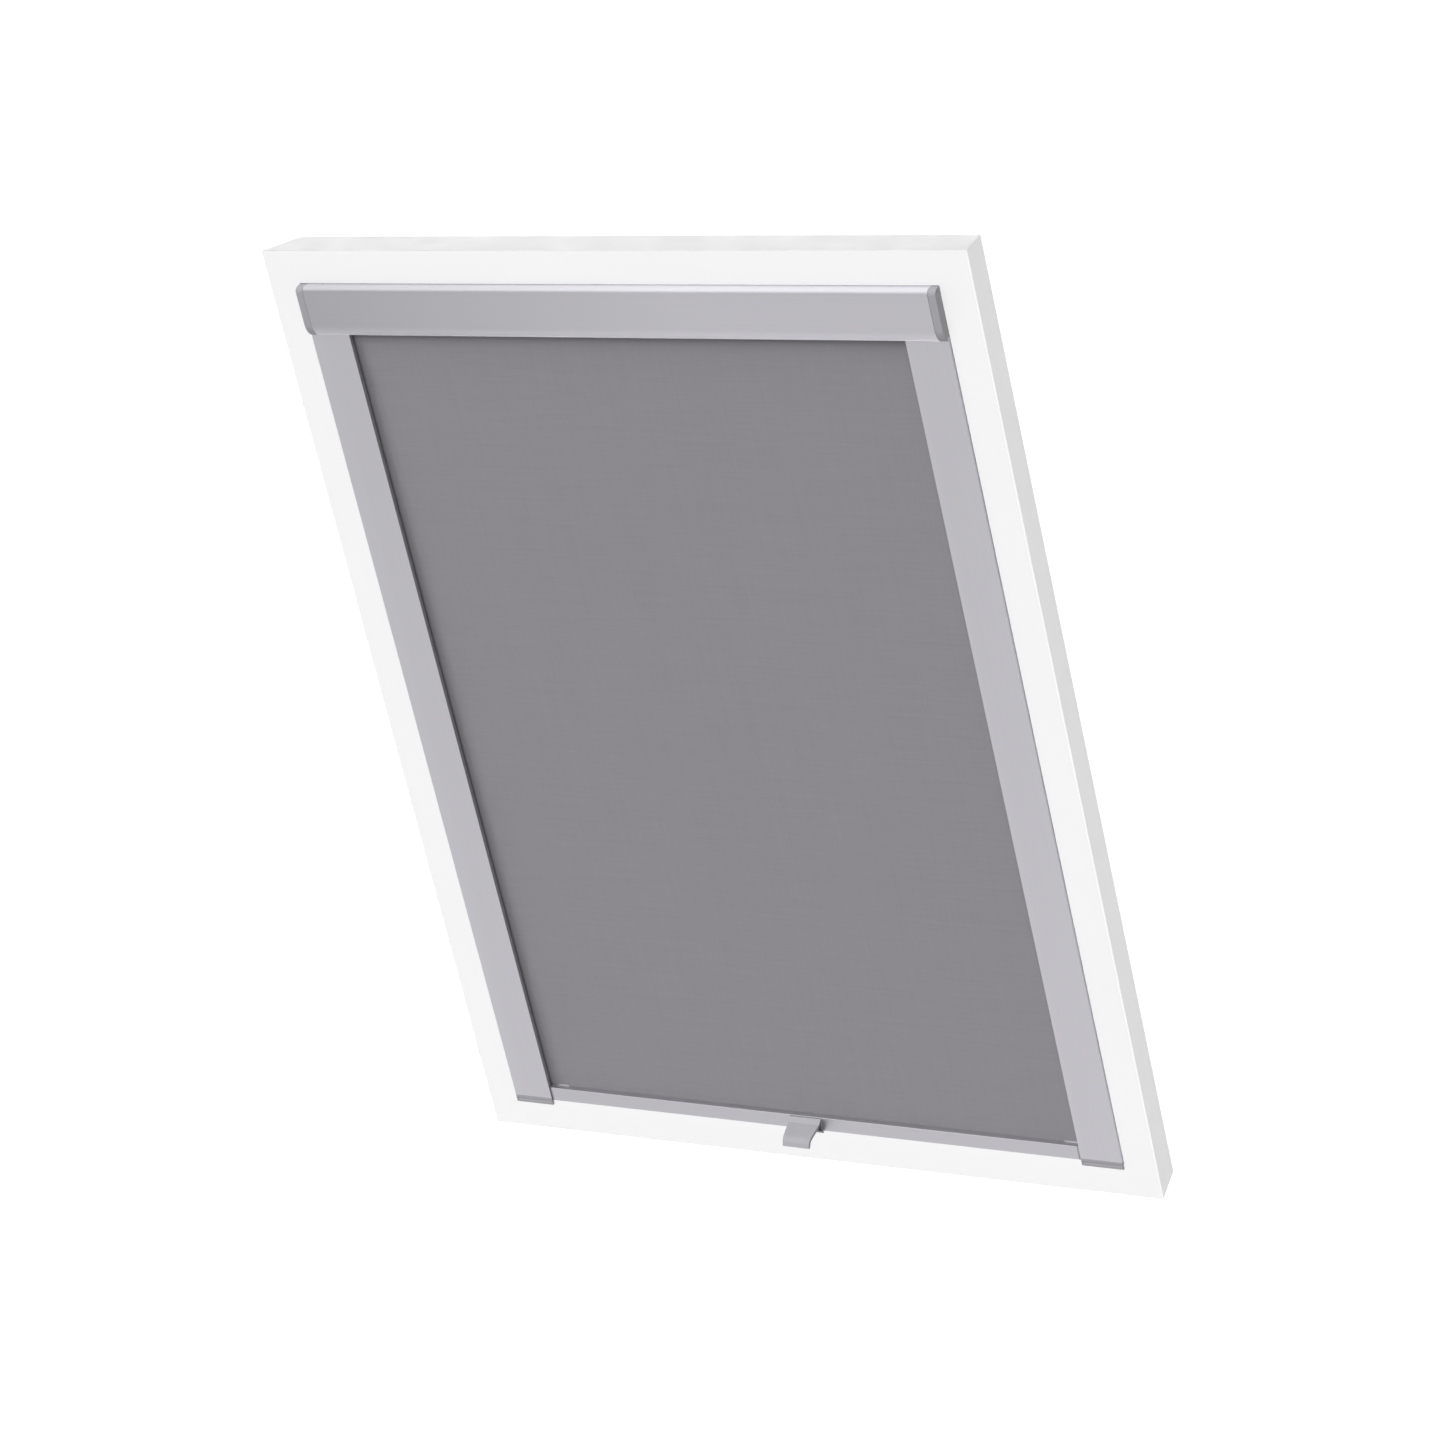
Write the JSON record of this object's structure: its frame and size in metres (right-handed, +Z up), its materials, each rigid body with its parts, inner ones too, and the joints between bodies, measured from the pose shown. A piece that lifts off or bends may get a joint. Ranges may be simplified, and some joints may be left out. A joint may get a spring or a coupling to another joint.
{
  "type": "skylight window blind",
  "caption": "Spring roller blind recess-mounted in a white roof-window frame: silver cassette and side rails, grey blackout cloth, sliding bottom bar with a pull handle.",
  "frame": {"origin": "middle of the window frame's bottom face, on the frame's middle plane", "axes": "+X to the right seen from the room, +Y back through the window to the outside, +Z up the window. The blind is drawn with its window upright; in a roof the whole part leans back about X."},
  "size_m": [0.78, 0.0771, 0.978],
  "materials": {
    "white_lacquer": "satin white lacquer on timber",
    "silver_anodised": "fine matt silver anodising",
    "grey_plastic": "matt moulded, silver grey",
    "dark_brush": "woven pile strip",
    "grey_fabric": "close plain weave, coated on the window side",
    "zinc_steel": "zinc plated",
    "spring_steel": "oiled spring wire",
    "natural_nylon": "natural nylon",
    "grey_felt": "pressed felt on a nylon stem"
  },
  "bodies": {
    "frame_and_cassette": {"blind_fabric": "grey_fabric", "cap_screw_left_1": "zinc_steel", "cap_screw_left_2": "zinc_steel", "cap_screw_right_1": "zinc_steel", "cap_screw_right_2": "zinc_steel", "cassette_back_plate": "silver_anodised", "cassette_brush_seal": "dark_brush", "cassette_end_cap_left": "grey_plastic", "cassette_end_cap_right": "grey_plastic", "cassette_front_cover": "silver_anodised", "frame_bottom_rail": "white_lacquer", "frame_left_stile": "white_lacquer", "frame_right_stile": "white_lacquer", "frame_top_rail": "white_lacquer", "idler_pin": "zinc_steel", "rail_brush_back_left": "dark_brush", "rail_brush_back_right": "dark_brush", "rail_brush_front_left": "dark_brush", "rail_brush_front_right": "dark_brush", "rail_foot_left": "grey_plastic", "rail_foot_right": "grey_plastic", "rail_screw_left_1": "zinc_steel", "rail_screw_left_2": "zinc_steel", "rail_screw_left_3": "zinc_steel", "rail_screw_right_1": "zinc_steel", "rail_screw_right_2": "zinc_steel", "rail_screw_right_3": "zinc_steel", "side_rail_left": "silver_anodised", "side_rail_right": "silver_anodised", "spring_arbor": "zinc_steel"},
    "sliding_bar": {"bottom_bar": "silver_anodised", "hem_rod": "natural_nylon", "pull_handle": "grey_plastic", "bar_guide_left": "grey_plastic", "bar_guide_right": "grey_plastic", "brake_pad_left": "grey_felt", "brake_pad_right": "grey_felt", "brake_spring_left": "spring_steel", "brake_spring_right": "spring_steel"},
    "roller": {"roller_tube": "silver_anodised", "fabric_roll": "grey_fabric", "spring_drive_plug": "natural_nylon", "idler_plug": "natural_nylon", "arbor_bush": "natural_nylon", "torsion_spring": "spring_steel"}
  },
  "joints": [
    {"name": "bar_slide", "type": "slide", "parent": "frame_and_cassette", "child": "sliding_bar", "axis": [0, 0, 1], "range_m": [0, 0.835], "deforming": ["blind_fabric"]},
    {"name": "roller_spin", "type": "hinge", "parent": "frame_and_cassette", "child": "roller", "pos_m": [0, -0.00595, 0.91803], "axis": [-1, 0, 0], "range_deg": [0, 3544]}
  ],
  "couplings": [
    {"joint": "roller_spin", "follows": "bar_slide", "rad_per_m": 74.074}
  ]
}
